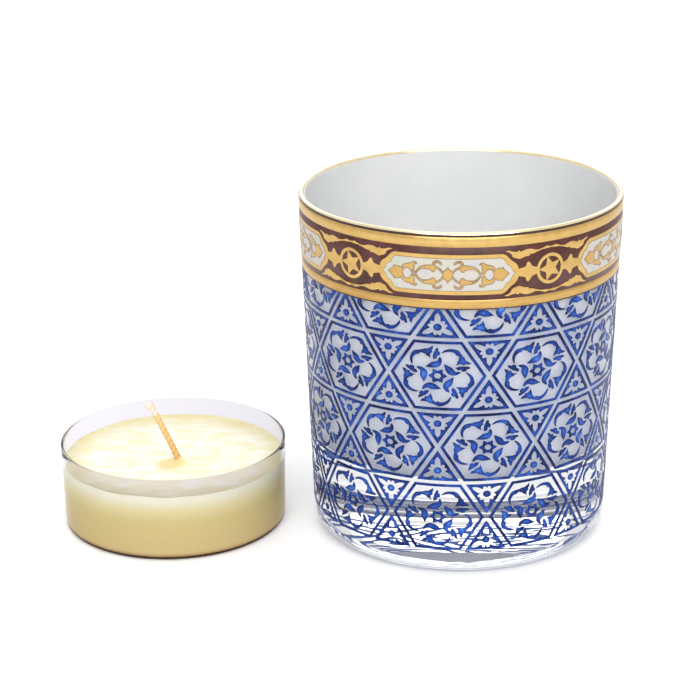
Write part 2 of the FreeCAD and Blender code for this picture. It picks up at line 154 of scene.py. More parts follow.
class Nodes:
    """A short way to write a node material."""

    def __init__(self, name):
        self.material = bpy.data.materials.new(name)
        self.material.use_nodes = True
        self.tree = self.material.node_tree
        self.shader = self.tree.nodes["Principled BSDF"]

    def add(self, kind, **values):
        node = self.tree.nodes.new(kind)
        for key, value in values.items():
            if hasattr(node, key):
                setattr(node, key, value)
            else:
                node.inputs[key.replace("_", " ")].default_value = value
        return node

    def link(self, out, into):
        self.tree.links.new(out, into)

    def place(self):
        return self.add("ShaderNodeTexCoord").outputs["Object"]

    def stretched(self, x, y, z):
        mapping = self.add("ShaderNodeMapping")
        mapping.inputs["Scale"].default_value = (x, y, z)
        self.link(self.place(), mapping.inputs["Vector"])
        return mapping.outputs["Vector"]

    def noise(self, scale, detail=3.0, rough=0.5, vector=None):
        node = self.add("ShaderNodeTexNoise")
        node.inputs["Scale"].default_value = scale
        node.inputs["Detail"].default_value = detail
        node.inputs["Roughness"].default_value = rough
        self.link(vector or self.place(), node.inputs["Vector"])
        return node.outputs["Fac"]

    def ramp(self, fac, stops):
        node = self.add("ShaderNodeValToRGB")
        ramp = node.color_ramp
        while len(ramp.elements) < len(stops):
            ramp.elements.new(0.5)
        for element, (place, colour) in zip(ramp.elements, stops):
            element.position = place
            element.color = (*colour, 1.0)
        self.link(fac, node.inputs["Fac"])
        return node.outputs["Color"]

    def math(self, kind, a, b):
        node = self.add("ShaderNodeMath", operation=kind)
        for socket, value in zip(node.inputs, (a, b)):
            if isinstance(value, (int, float)):
                socket.default_value = value
            else:
                self.link(value, socket)
        return node.outputs["Value"]

    def span(self, fac, low, high):
        node = self.add("ShaderNodeMapRange")
        node.inputs["To Min"].default_value = low
        node.inputs["To Max"].default_value = high
        self.link(fac, node.inputs["Value"])
        return node.outputs["Result"]

    def part(self, vector, axis):
        """One of a vector's X, Y and Z."""
        node = self.add("ShaderNodeSeparateXYZ")
        self.link(vector, node.inputs["Vector"])
        return node.outputs[axis]

    def between(self, length, low, high):
        """0 to 1 as a length goes from low to high, in millimetres."""
        node = self.add("ShaderNodeMapRange")
        node.inputs["From Min"].default_value = low * MM
        node.inputs["From Max"].default_value = high * MM
        self.link(length, node.inputs["Value"])
        return node.outputs["Result"]

    def far_from(self, centre, near, far):
        """0 to 1 as the level distance from a point, in millimetres, goes from near to far."""
        offset = self.add("ShaderNodeVectorMath", operation="SUBTRACT")
        offset.inputs[1].default_value = (centre[0] * MM, centre[1] * MM, 0.0)
        self.link(self.place(), offset.inputs[0])
        level = self.add("ShaderNodeVectorMath", operation="MULTIPLY")
        level.inputs[1].default_value = (1.0, 1.0, 0.0)
        self.link(offset.outputs["Vector"], level.inputs[0])
        length = self.add("ShaderNodeVectorMath", operation="LENGTH")
        self.link(level.outputs["Vector"], length.inputs[0])
        return self.between(length.outputs["Value"], near, far)

    def bump(self, height, strength, distance):
        node = self.add("ShaderNodeBump")
        node.inputs["Strength"].default_value = strength
        node.inputs["Distance"].default_value = distance
        self.link(height, node.inputs["Height"])
        self.link(node.outputs["Normal"], self.shader.inputs["Normal"])

    def colour(self, out):
        self.link(out, self.shader.inputs["Base Color"])

    def roughness(self, out):
        self.link(out, self.shader.inputs["Roughness"])

    def set(self, **values):
        for key, value in values.items():
            self.shader.inputs[key.replace("_", " ")].default_value = value
        return self


def clear_glass():
    """Pressed clear glass with a faint waviness."""
    n = Nodes("clear_glass").set(Base_Color=(0.985, 0.992, 0.995, 1), Transmission_Weight=1.0,
                                 Roughness=0.0, IOR=1.5)
    n.bump(n.noise(120.0, 2.0), 0.06, 0.0006)
    return n.material


def clear_plastic():
    """The candle's thin clear cup."""
    n = Nodes("clear_plastic").set(Base_Color=(0.73, 0.71, 0.75, 1), Transmission_Weight=1.0,
                                   Roughness=0.02, IOR=1.12)
    n.bump(n.noise(160.0, 2.0), 0.05, 0.0003)
    return n.material


def white_enamel(name, dark, light):
    """Smooth white enamel with a little unevenness from firing."""
    n = Nodes(name).set(Specular_IOR_Level=0.35)
    cloud = n.noise(60.0, 4.0, 0.6)
    n.colour(n.ramp(cloud, [(0.3, dark), (0.7, light)]))
    n.roughness(n.span(n.noise(300.0), 0.32, 0.45))
    n.bump(n.noise(900.0, 2.0), 0.05, 0.0002)
    return n.material


def fired_gold(name, dark, light):
    """Fired gold: bright, slightly uneven, with fine marks running round the glass."""
    n = Nodes(name).set(Metallic=0.85)
    streaks = n.noise(55.0, 4.0, 0.65, n.stretched(1.0, 1.0, 9.0))
    mottled = n.noise(420.0, 3.0, 0.6)
    mixed = n.math("ADD", n.math("MULTIPLY", streaks, 0.6), n.math("MULTIPLY", mottled, 0.4))
    n.colour(n.ramp(mixed, [(0.35, dark), (0.65, light)]))
    n.roughness(n.span(mottled, 0.26, 0.42))
    n.bump(mottled, 0.12, 0.0002)
    return n.material


def pale_gold_painted_highlight():
    """The lip's gold: painted pale and bright as a highlight."""
    n = Nodes("pale_gold_painted_highlight").set(Metallic=0.9)
    mottled = n.noise(300.0, 3.0, 0.6)
    n.colour(n.ramp(mottled, [(0.3, (0.90, 0.74, 0.44)), (0.7, (0.96, 0.84, 0.58))]))
    n.roughness(n.span(mottled, 0.12, 0.22))
    return n.material


def brown_enamel():
    """Dark brown-maroon enamel ground with a purple cast in places."""
    n = Nodes("brown_enamel").set(Specular_IOR_Level=0.3)
    n.colour(n.ramp(n.noise(240.0, 4.0, 0.6),
                    [(0.30, (0.040, 0.012, 0.008)), (0.50, (0.070, 0.020, 0.014)),
                     (0.72, (0.095, 0.034, 0.038))]))
    n.roughness(n.span(n.noise(600.0), 0.25, 0.4))
    n.bump(n.noise(700.0, 2.0), 0.1, 0.0002)
    return n.material


def line_enamel_and_painted_shade(name, dark, light):
    """The colour of a thin line: drawn sepia enamel, and the dark painted shade and reflection
    along the gilded band's edges.
    """
    n = Nodes(name).set(Specular_IOR_Level=0.3)
    n.colour(n.ramp(n.noise(500.0), [(0.3, dark), (0.7, light)]))
    n.roughness(n.span(n.noise(600.0), 0.3, 0.45))
    return n.material


def silver_enamel():
    """Pearly panels, faintly mottled with pink, green and blue."""
    n = Nodes("silver_enamel").set(Specular_IOR_Level=0.4)
    n.colour(n.ramp(n.noise(330.0, 3.0, 0.6),
                    [(0.30, (0.38, 0.41, 0.34)), (0.45, (0.44, 0.43, 0.37)),
                     (0.58, (0.46, 0.41, 0.39)), (0.70, (0.38, 0.40, 0.44))]))
    n.roughness(n.span(n.noise(700.0), 0.25, 0.4))
    n.bump(n.noise(800.0, 2.0), 0.08, 0.0002)
    return n.material


def blue_enamel():
    """Cobalt enamel with an uneven wash of tone, painted navy along each stroke's edges as shade
    and lighter in its middle as a highlight.
    """
    n = Nodes("blue_enamel").set(Specular_IOR_Level=0.12)
    middle = n.add("ShaderNodeAttribute", attribute_name="middle").outputs["Fac"]
    wash = n.noise(300.0, 4.0, 0.6)
    # Painted shade and highlight: darker towards each stroke's edge, lighter towards its middle,
    # mixed with the enamel's uneven wash.
    depth = n.math("ADD", n.math("MULTIPLY", middle, 0.45), n.math("MULTIPLY", wash, 1.1))
    n.colour(n.ramp(depth, [(0.45, (0.003, 0.008, 0.045)), (0.64, (0.008, 0.028, 0.165)),
                            (0.84, (0.018, 0.070, 0.330)), (1.0, (0.060, 0.180, 0.500))]))
    n.roughness(n.span(wash, 0.18, 0.36))
    n.bump(wash, 0.12, 0.0002)
    return n.material


def blue_painted_backlight():
    """The blue enamel's underside, seen from behind through the glass: a brighter copy of the
    blue, painted to stand in for light shining through the enamel.
    """
    n = Nodes("blue_painted_backlight").set(Specular_IOR_Level=0.0)
    wash = n.noise(300.0, 4.0, 0.6)
    n.colour(n.ramp(wash, [(0.30, (0.040, 0.120, 0.600)), (0.50, (0.110, 0.260, 0.800)),
                           (0.70, (0.260, 0.440, 0.900))]))
    n.roughness(n.span(wash, 0.5, 0.7))
    return n.material


def cream_wax():
    """Cream wax: whitish and streaky on its poured top, yellow at the wall and round the wick.
    The side is painted darker khaki than the top as shade, paler towards its top edge, with a
    painted ochre line along the bottom edge standing in for the refraction at the cup's corner."""
    n = Nodes("cream_wax").set(Subsurface_Weight=0.3, Subsurface_Scale=0.002, IOR=1.44,
                               Subsurface_Radius=(1.0, 0.8, 0.45))
    # Top and side are told apart by which way the surface faces; the side gets a darker copy of
    # the wax colour as painted shade.
    facing_up = n.part(n.add("ShaderNodeNewGeometry").outputs["Normal"], "Z")
    streaks = n.noise(170.0, 6.0, 0.7, n.stretched(0.7, 1.3, 1.0))
    at_wall = n.far_from((CANDLE_X, CANDLE_Y), 23.0, 29.5)
    at_wick = n.far_from((CANDLE_X + WICK_X - 2.6, CANDLE_Y + WICK_Y - 1.8), 4.6, 2.4)
    yellow = n.math("MAXIMUM", n.math("MULTIPLY", at_wall, 0.5), at_wick)
    pale = n.math("SUBTRACT", streaks, n.math("MULTIPLY", yellow, 0.5))
    top = n.ramp(pale, [(0.03, (0.70, 0.58, 0.26)), (0.30, (0.74, 0.67, 0.38)),
                        (0.46, (0.78, 0.73, 0.52)), (0.58, (0.82, 0.80, 0.69))])
    # Painted shade down the side, paler towards the top edge, with a painted ochre line at the
    # bottom for the refraction at the cup's corner.
    side = n.ramp(n.between(n.part(n.place(), "Z"), 0.0, WAX_LEVEL),
                  [(0.05, (0.42, 0.25, 0.09)), (0.11, (0.72, 0.57, 0.24)),
                   (0.62, (0.74, 0.62, 0.26)), (0.78, (0.82, 0.75, 0.38)),
                   (0.95, (0.92, 0.90, 0.70))])
    mix = n.add("ShaderNodeMix", data_type="RGBA")
    n.link(n.math("GREATER_THAN", facing_up, 0.5), mix.inputs["Factor"])
    n.link(side, mix.inputs[6])
    n.link(top, mix.inputs[7])
    n.colour(mix.outputs[2])
    n.roughness(n.span(n.noise(260.0), 0.36, 0.55))
    n.bump(n.noise(420.0, 4.0, 0.6), 0.15, 0.0005)
    return n.material


def waxed_cotton():
    """Ochre wick, paler where the wax has soaked its tip."""
    n = Nodes("waxed_cotton")
    fibre = n.noise(1500.0, 3.0)
    level = n.between(n.part(n.place(), "Z"), WICK_BENDS_AT, WICK_TIP - 0.4)
    tone = n.math("ADD", level, n.math("MULTIPLY", fibre, 0.25))
    n.colour(n.ramp(tone, [(0.1, (0.62, 0.36, 0.12)), (0.7, (0.72, 0.45, 0.16)),
                           (0.98, (0.74, 0.50, 0.22)), (1.0, (0.78, 0.64, 0.50))]))
    n.roughness(n.span(fibre, 0.45, 0.65))
    n.bump(fibre, 0.4, 0.0002)
    return n.material


def stamped_tin():
    """The sustainer's tinplate."""
    n = Nodes("stamped_tin").set(Metallic=1.0)
    grain = n.noise(900.0, 3.0, 0.6, n.stretched(1.0, 8.0, 1.0))
    n.colour(n.ramp(grain, [(0.3, (0.52, 0.52, 0.53)), (0.7, (0.66, 0.66, 0.65))]))
    n.roughness(n.span(grain, 0.28, 0.45))
    return n.material


def pale_floor():
    """A plain pale surface, very faintly mottled."""
    n = Nodes("pale_floor").set(Specular_IOR_Level=0.2, Emission_Strength=0.1)
    n.shader.inputs["Emission Color"].default_value = (1.0, 1.0, 1.0, 1.0)
    n.colour(n.ramp(n.noise(14.0), [(0.3, (0.88, 0.88, 0.88)), (0.7, (0.91, 0.91, 0.91))]))
    n.roughness(n.span(n.noise(40.0), 0.6, 0.7))
    return n.material


GLASS = clear_glass()
PLASTIC = clear_plastic()
# Two copies of the lining's white: a dim one painted as shade on the inside, and a bright one
# painted to make up for light lost through the glass and under the prints.
WHITE_PAINTED_DIM = white_enamel("white_enamel", (0.62, 0.63, 0.63), (0.67, 0.67, 0.67))
WHITE_PAINTED_BRIGHT = white_enamel("white_enamel_painted_bright", (0.93, 0.93, 0.95), (0.96, 0.96, 0.97))
GOLD = fired_gold("fired_gold", (0.50, 0.31, 0.095), (0.66, 0.44, 0.155))
# The lip's gold is a pale copy of the gold, painted as a highlight.
LIP_GOLD = pale_gold_painted_highlight()
DEEP_GOLD = fired_gold("deep_gold", (0.47, 0.28, 0.082), (0.59, 0.38, 0.130))
BROWN = brown_enamel()
# The dark line colour is painted reflection and shadow at the gilded band's edges.
PAINTED_DARK_LINE = line_enamel_and_painted_shade("line_enamel_and_painted_shade", (0.030, 0.014, 0.012), (0.060, 0.025, 0.020))
SEPIA = line_enamel_and_painted_shade("sepia_enamel", (0.20, 0.13, 0.06), (0.32, 0.22, 0.12))
SILVER = silver_enamel()
BLUE = blue_enamel()
BLUE_PAINTED_BACKLIGHT = blue_painted_backlight()
WAX = cream_wax()
COTTON = waxed_cotton()
TIN = stamped_tin()


# ---- mesh helpers

def mesh_object(name, points, faces, material, body, nodes=(), middle=None):
    """A piece from points in millimetres, riding on a body and standing for CAD nodes. Middle is
    how far inside a print's edge each point lies, which the blue enamel's painted edge shade and
    middle highlight follow."""
    mesh = bpy.data.meshes.new(name)
    mesh.from_pydata([tuple(c * MM for c in p) for p in points], [], faces)
    mesh.update()
    mesh.polygons.foreach_set("use_smooth", [True] * len(mesh.polygons))
    if middle is not None:
        layer = mesh.attributes.new("middle", "FLOAT", "POINT")
        layer.data.foreach_set("value", middle)
    piece = bpy.data.objects.new(name, mesh)
    bpy.context.scene.collection.objects.link(piece)
    mesh.materials.append(material)
    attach(piece, body)
    if nodes:
        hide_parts(*nodes)
    return piece


def sharpen(piece, degrees):
    """Keep edges steeper than this sharp under smooth shading."""
    limit = math.radians(degrees)
    bm = bmesh.new()
    bm.from_mesh(piece.data)
    for edge in bm.edges:
        if len(edge.link_faces) == 2 and edge.calc_face_angle(0.0) > limit:
            edge.smooth = False
    bm.to_mesh(piece.data)
    bm.free()


def lathe(profile, segments, centre=(0.0, 0.0)):
    """Points and faces of a profile of (radius, height) turned about +Z. A profile that starts
    and ends on the axis closes there; any other is joined end to start."""
    points = []
    faces = []
    rings = []
    for radius, height in profile:
        if radius < 1e-6:
            rings.append([len(points)])
            points.append((centre[0], centre[1], height))
            continue
        ring = []
        for i in range(segments):
            turn = 2.0 * math.pi * i / segments
            ring.append(len(points))
            points.append((centre[0] + radius * math.sin(turn),
                           centre[1] - radius * math.cos(turn), height))
        rings.append(ring)
    closed = len(rings[0]) > 1 and len(rings[-1]) > 1
    for k in range(len(rings) if closed else len(rings) - 1):
        low = rings[k]
        high = rings[(k + 1) % len(rings)]
        for i in range(segments):
            j = (i + 1) % segments
            if len(low) == 1:
                faces.append((low[0], high[j], high[i]))
            elif len(high) == 1:
                faces.append((low[i], low[j], high[0]))
            else:
                faces.append((low[i], low[j], high[j], high[i]))
    return points, faces


def arc(centre, radius, start, end, steps):
    """Points on an arc, degrees, both ends included."""
    found = []
    for i in range(steps + 1):
        angle = math.radians(start + (end - start) * i / steps)
        found.append((centre[0] + radius * math.cos(angle), centre[1] + radius * math.sin(angle)))
    return found


def straight(start, end, steps):
    """Points along a line, both ends left out."""
    return [(start[0] + (end[0] - start[0]) * i / steps,
             start[1] + (end[1] - start[1]) * i / steps) for i in range(1, steps)]


# ---- flat outlines

def curve_through(points, steps=4):
    """A smooth open line through the points, both ends included."""
    found = []
    last = len(points) - 1
    for k in range(last):
        p0 = np.array(points[max(k - 1, 0)], float)
        p1 = np.array(points[k], float)
        p2 = np.array(points[k + 1], float)
        p3 = np.array(points[min(k + 2, last)], float)
        for i in range(steps):
            t = i / steps
            found.append(tuple(0.5 * (2 * p1 + (p2 - p0) * t
                                      + (2 * p0 - 5 * p1 + 4 * p2 - p3) * t * t
                                      + (3 * p1 - p0 - 3 * p2 + p3) * t ** 3)))
    found.append(tuple(points[-1]))
    return found


def outline(*runs):
    """A closed outline of smooth runs, with a sharp corner wherever two runs meet."""
    found = []
    for run in runs:
        found.extend(curve_through(run)[:-1] if len(run) > 2 else run[:-1])
    return [(float(x), float(y)) for x, y in found]


def both_sides(upper):
    """Close an upper edge, given left to right, with its mirror image below."""
    return upper + [(x, -y) for x, y in upper[::-1] if abs(y) > 1e-6]


def turned(points, degrees):
    """An outline turned about the origin."""
    c = math.cos(math.radians(degrees))
    s = math.sin(math.radians(degrees))
    return [(x * c - y * s, x * s + y * c) for x, y in points]


def flipped(points, across=False, up=False):
    """An outline mirrored left to right, top to bottom, or both."""
    return [(-x if across else x, -y if up else y) for x, y in points]


def ngon(radius, count, first=0.0):
    """A regular outline with a corner at the angle first."""
    return turned([(radius * math.cos(2 * math.pi * i / count),
                    radius * math.sin(2 * math.pi * i / count)) for i in range(count)], first)


def swollen(points, by):
    """An outline moved outwards by a distance."""
    loop = np.array(points, float)
    before = np.roll(loop, 1, axis=0)
    after = np.roll(loop, -1, axis=0)
    along = after - before
    along /= np.maximum(np.linalg.norm(along, axis=1, keepdims=True), 1e-9)
    outward = np.stack([along[:, 1], -along[:, 0]], axis=1)
    area = float(np.sum(before[:, 0] * loop[:, 1] - loop[:, 0] * before[:, 1]))
    sign = 1.0 if area > 0 else -1.0
    return [tuple(p) for p in loop + outward * by * sign]


# ---- prints wrapped on the wall

class Print:
    """Gathers flat filled shapes and wraps them, as one thin relief, on the glass's wall."""

    def __init__(self, low, high, dome=0.0):
        self.low = low
        self.high = high
        self.dome = dome
        self.points = []
        self.faces = []
        self.middle = []
        self.under = []

    def stamp(self, outlines, scale, height, turns, top=None, grain=0.8):
        """Fill the outlines (holes inside them stay open) and repeat them at each turn."""
        flat, triangles, middle = filled(outlines, grain, None if top is None else top - height)
        if not len(triangles):
            return
        edges = border_edges(triangles)
        levels = height + flat[:, 1]
        proud = self.low + (self.high - self.low) * (1.0 - self.dome * (1.0 - middle))
        for turn in turns:
            angle = math.radians(turn) + flat[:, 0] * scale
            start = len(self.points)
            for lift in (proud, np.full(len(flat), self.low)):
                radius = wall_radius(levels) + lift
                self.points.extend(zip((radius * np.sin(angle)).tolist(),
                                       (-radius * np.cos(angle)).tolist(), levels.tolist()))
                self.middle.extend(middle.tolist())
            under = start + len(flat)
            self.faces.extend((start + a, start + b, start + c) for a, b, c in triangles)
            self.faces.extend((start + b, start + a, under + a, under + b) for a, b in edges)
            self.under.extend((under + c, under + b, under + a) for a, b, c in triangles)

    def finish(self, name, material, nodes=(), behind=None):
        """Make the piece. Behind is the material seen on its underside, through the glass; the
        lattice gives it the painted backlight blue.
        """
        faces = self.faces + self.under
        piece = mesh_object(name, self.points, faces, material, "holder", nodes,
                            middle=self.middle)
        if behind:
            piece.data.materials.append(behind)
            for face in piece.data.polygons[len(self.faces):]:
                face.material_index = 1
        sharpen(piece, 40.0)


def filled(outlines, grain, top):
    """Points, triangles and depth inside the edge for outlines filled in the flat."""
    corners = []
    edges = []
    for loop in outlines:
        start = len(corners)
        corners.extend(Vector(p) for p in loop)
        edges.extend((start + i, start + (i + 1) % len(loop)) for i in range(len(loop)))
    rim = np.array([tuple(c) for c in corners])
    lowest = rim.min(axis=0)
    highest = rim.max(axis=0)
    row = 0
    level = lowest[1] + grain * 0.5
    while level < highest[1]:
        across = lowest[0] + grain * (0.25 + 0.5 * (row % 2))
        while across < highest[0]:
            gap = np.min(np.hypot(rim[:, 0] - across, rim[:, 1] - level))
            if gap > grain * 0.35:
                corners.append(Vector((across, level)))
            across += grain
        level += grain * 0.87
        row += 1
    points, _, triangles, *_ = delaunay_2d_cdt(corners, edges, [], 1, 1e-5)
    places = np.array([tuple(p) for p in points])
    keep = covered(outlines, places[np.array(triangles)].mean(axis=1))
    bm = bmesh.new()
    made = [bm.verts.new((p.x, p.y, 0.0)) for p in points]
    for (a, b, c), kept in zip(triangles, keep):
        if kept:
            bm.faces.new((made[a], made[b], made[c]))
    loose = [v for v in bm.verts if not v.link_faces]
    bmesh.ops.delete(bm, geom=loose, context="VERTS")
    if top is not None:
        everything = bm.verts[:] + bm.edges[:] + bm.faces[:]
        bmesh.ops.bisect_plane(bm, geom=everything, plane_co=(0, top, 0), plane_no=(0, 1, 0),
                               clear_outer=True)
        bmesh.ops.triangulate(bm, faces=bm.faces[:])
    bm.verts.index_update()
    flat = np.array([(v.co.x, v.co.y) for v in bm.verts]).reshape(-1, 2)
    found = [tuple(v.index for v in f.verts) for f in bm.faces]
    bm.free()
    if not len(flat):
        return flat, [], flat
    gaps = np.hypot(flat[:, None, 0] - rim[None, :, 0], flat[:, None, 1] - rim[None, :, 1])
    middle = np.clip(gaps.min(axis=1) / 0.9, 0.0, 1.0)
    return flat, found, middle


def covered(outlines, places):
    """Which places lie inside an odd number of the outlines."""
    crossings = np.zeros(len(places), int)
    x, y = places[:, 0], places[:, 1]
    for loop in outlines:
        for (ax, ay), (bx, by) in zip(loop, loop[1:] + loop[:1]):
            if ay == by:
                continue
            spans = (ay > y) != (by > y)
            crossings += spans & (x < ax + (y - ay) * (bx - ax) / (by - ay))
    return crossings % 2 == 1


def border_edges(triangles):
    """Directed edges that belong to one triangle only."""
    seen = set()
    for a, b, c in triangles:
        seen.update(((a, b), (b, c), (c, a)))
    return [(a, b) for a, b in seen if (b, a) not in seen]


# ---- the glass and its lining

def make_glass():
    """The tumbler, from the middle of its hollowed underside round to the cavity's floor. The
    foot's corner is set out by FOOT_FLARE, because the wall has widened at its top."""
    rim_centre = RIM_RADIUS - RIM_WALL / 2.0
    round_radius = RIM_WALL / 2.0
    shoulder = GLASS_HEIGHT - round_radius
    sphere = (DISH_RADIUS ** 2 + DISH_DEPTH ** 2) / (2.0 * DISH_DEPTH)
    across = [DISH_RADIUS * i / 20 for i in range(21)]
    profile = [(r, math.sqrt(sphere ** 2 - r ** 2) - sphere + DISH_DEPTH) for r in across]
    profile += straight((DISH_RADIUS, 0.0), (FOOT_RADIUS - FOOT_CORNER, 0.0), 4)
    profile += arc((FOOT_RADIUS - FOOT_CORNER + FOOT_FLARE, FOOT_CORNER), FOOT_CORNER, -90, -2,
                   14)
    profile += straight((wall_radius(FOOT_CORNER), FOOT_CORNER),
                        (wall_radius(shoulder), shoulder), 24)
    profile += arc((rim_centre, shoulder), round_radius, 0, 180, 12)
    profile += straight((cavity_radius(shoulder), shoulder),
                        (cavity_radius(FLOOR_HEIGHT + FLOOR_CORNER), FLOOR_HEIGHT + FLOOR_CORNER),
                        16)
    inner = cavity_radius(FLOOR_HEIGHT + FLOOR_CORNER) - FLOOR_CORNER
    profile += arc((inner, FLOOR_HEIGHT + FLOOR_CORNER), FLOOR_CORNER, 0, -90, 12)
    profile += straight((inner, FLOOR_HEIGHT), (0.0, FLOOR_HEIGHT), 6)
    profile += [(0.0, FLOOR_HEIGHT)]
    points, faces = lathe(profile, GLASS_SIDES)
    mesh_object("glass_tumbler", points, faces, GLASS, "holder", ("glass_body",))


def make_lining():
    """The lining's outside is rooted a little in the glass, so the two read as fused."""
    middle = FLOOR_HEIGHT + FLOOR_CORNER
    reach = cavity_radius(middle) - FLOOR_CORNER
    grown = FLOOR_CORNER - ROOTED
    shrunk = FLOOR_CORNER - LINING_THICK
    outside = [(0.0, FLOOR_HEIGHT + ROOTED)]
    outside += arc((reach, middle), grown, -90, 0, 14)
    outside += straight((cavity_radius(middle) - ROOTED, middle),
                        (cavity_radius(LINING_TOP) - ROOTED, LINING_TOP), 20)
    outside += [(cavity_radius(LINING_TOP) - ROOTED, LINING_TOP)]
    inside = [(cavity_radius(LINING_TOP) - LINING_THICK, LINING_TOP)]
    inside += straight((cavity_radius(LINING_TOP) - LINING_THICK, LINING_TOP),
                       (cavity_radius(middle) - LINING_THICK, middle), 20)
    inside += arc((reach, middle), shrunk, 0, -90, 14)
    inside += [(0.0, FLOOR_HEIGHT + LINING_THICK)]
    points, faces = lathe(outside + inside, GLASS_SIDES)
    piece = mesh_object("lining", points, faces, WHITE_PAINTED_DIM, "holder", ("white_lining",))
    # The outside, seen through the glass, gets the white painted bright; the inside keeps the
    # white painted dim as shade.
    piece.data.materials.append(WHITE_PAINTED_BRIGHT)
    seen_through_glass = (len(outside) - 1) * GLASS_SIDES
    for face in piece.data.polygons[:seen_through_glass]:
        face.material_index = 1
    sharpen(piece, 50.0)


def band(name, low, high, proud, material, nodes=(), slot=None):
    """A coat all round the wall between two heights, with a softened edge."""
    edge = 0.04
    profile = [(wall_radius(low) + ROOTED, low), (wall_radius(low) + proud - edge, low),
               (wall_radius(low) + proud, low + edge), (wall_radius(high) + proud, high - edge),
               (wall_radius(high) + proud - edge, high), (wall_radius(high) + ROOTED, high)]
    points, faces = lathe(profile, COAT_SIDES)
    piece = mesh_object(name, points, faces, material, "holder", nodes)
    sharpen(piece, 50.0)


def make_bands():
    """The plain coats of the gilded band, one above the other, with a thin dark line at each end:
    a painted reflection under the lip and a painted shadow under the lower gold.
    """
    band("gold_band_upper", *HIGH_GOLD, BAND_PROUD, GOLD, ("upper_gold_band",), "gold")
    band("gold_band_lower", *LOW_GOLD, BAND_PROUD, DEEP_GOLD, ("lower_gold_band",), "gold")
    band("brown_ground", LOW_GOLD[1], HIGH_GOLD[0], BAND_PROUD - 0.02, BROWN,
         ("brown_enamel_band",), "brown_enamel")
    # A dark band painted under the lip, standing in for a dark reflection on the gold.
    band("painted_reflection_under_lip", HIGH_GOLD[1], HIGH_GOLD[1] + PAINTED_REFLECTION_UNDER_LIP, BAND_PROUD - 0.05, PAINTED_DARK_LINE,
         (), "brown_enamel")
    # A dark line painted under the lower gold as its shadow.
    band("painted_shadow_under_gold", LOW_GOLD[0] - PAINTED_SHADOW_UNDER_GOLD, LOW_GOLD[0], BAND_PROUD - 0.03, PAINTED_DARK_LINE,
         (), "brown_enamel")


def lip_ring(name, start, end, material, nodes=()):
    """Part of the coat over the rounded rim, between two angles from outside to inside."""
    centre = (RIM_RADIUS - RIM_WALL / 2.0, GLASS_HEIGHT - RIM_WALL / 2.0)
    outer = arc(centre, RIM_WALL / 2.0 + BAND_PROUD, start, end, 20)
    inner = arc(centre, RIM_WALL / 2.0 + ROOTED, end, start, 14)
    points, faces = lathe(outer + inner, COAT_SIDES)
    piece = mesh_object(name, points, faces, material, "holder", nodes)
    sharpen(piece, 50.0)


def make_lip():
    """Gold over the rim, painted pale as a highlight, with a dark line painted on its outer
    shoulder as a reflection.
    """
    # The rim's outer shoulder is painted dark as a reflection.
    lip_ring("painted_reflection_on_lip_shoulder", -10, 22, PAINTED_DARK_LINE, ())
    lip_ring("lip", 22, 188, LIP_GOLD, ("gold_lip",))


# ---- the blue lattice

HEX_SIDE = ROW_HEIGHT / math.sqrt(3.0)
LATTICE = math.pi / HEX_COUNT / HEX_SIDE
ALL_ROUND = [HEX_TURN + 360.0 * i / HEX_COUNT for i in range(HEX_COUNT)]


def inner_leaf():
    """One of the five leaves that curl round a rosette's centre."""
    return outline([(-2.6, 2.25), (-1.5, 2.1), (-0.5, 2.15), (0.25, 2.45), (0.75, 3.1),
                    (0.92, 3.9), (0.75, 4.6), (0.45, 5.0)],
                   [(0.45, 5.0), (0.2, 4.5), (0.05, 4.0), (-0.35, 3.78), (-1.1, 3.6),
                    (-1.7, 3.15), (-2.6, 2.25)])


def outer_spray():
    """A stem that curls along the rosette's rim and ends in a split tulip."""
    return outline([(0.85, 6.1), (1.5, 6.7), (2.5, 7.05), (3.6, 7.0), (4.4, 6.65),
                    (4.9, 5.9), (5.3, 5.2), (5.75, 4.75)],
                   [(5.75, 4.75), (5.9, 4.2), (6.5, 3.75), (7.1, 3.35)],
                   [(7.1, 3.35), (6.4, 3.1), (5.9, 3.2), (5.5, 2.95), (5.0, 3.2), (4.4, 3.1),
                    (3.8, 2.75)],
                   [(3.8, 2.75), (4.1, 3.35), (4.15, 3.8)],
                   [(4.15, 3.8), (4.45, 4.2), (4.5, 4.7), (4.5, 5.25)],
                   [(4.5, 5.25), (4.2, 5.35), (3.85, 5.5)],
                   [(3.85, 5.5), (3.6, 5.95), (2.9, 6.3), (2.0, 6.3), (0.85, 5.9)],
                   [(0.85, 5.9), (0.85, 6.1)])


def outer_bud():
    """The three-lobed bud facing a tulip across a narrow gap."""
    return outline([(3.8, 2.2), (4.5, 2.5), (5.5, 2.6), (6.75, 2.5)],
                   [(6.75, 2.5), (6.85, 2.15), (6.45, 1.9), (6.1, 1.95)],
                   [(6.1, 1.95), (6.15, 1.6), (5.75, 1.3), (5.2, 1.3), (4.95, 1.75)],
                   [(4.95, 1.75), (4.5, 1.6), (4.1, 1.85), (3.8, 2.2)])


def centre_star():
    """The six-petalled flower at a rosette's centre."""
    found = []
    for i in range(6):
        found += turned([(2.05, 0.0), (1.5, 0.42), (1.12, 0.65), (1.12, 0.65), (1.17, 0.85)],
                        60.0 * i)
    return found


def trefoil():
    """The flower left clear in a triangle: three long petals and pairs of small ones."""
    found = []
    for lobe in range(3):
        for reach, turn in ((3.75, 0), (3.0, 10), (2.3, 16), (1.65, 25), (2.05, 36), (2.1, 50),
                            (1.7, 60), (2.1, 70), (2.05, 84), (1.65, 95), (2.3, 104), (3.0, 110)):
            angle = math.radians(90.0 + 120.0 * lobe + turn)
            found.append((reach * math.cos(angle), reach * math.sin(angle)))
    return outline(found + found[:1])


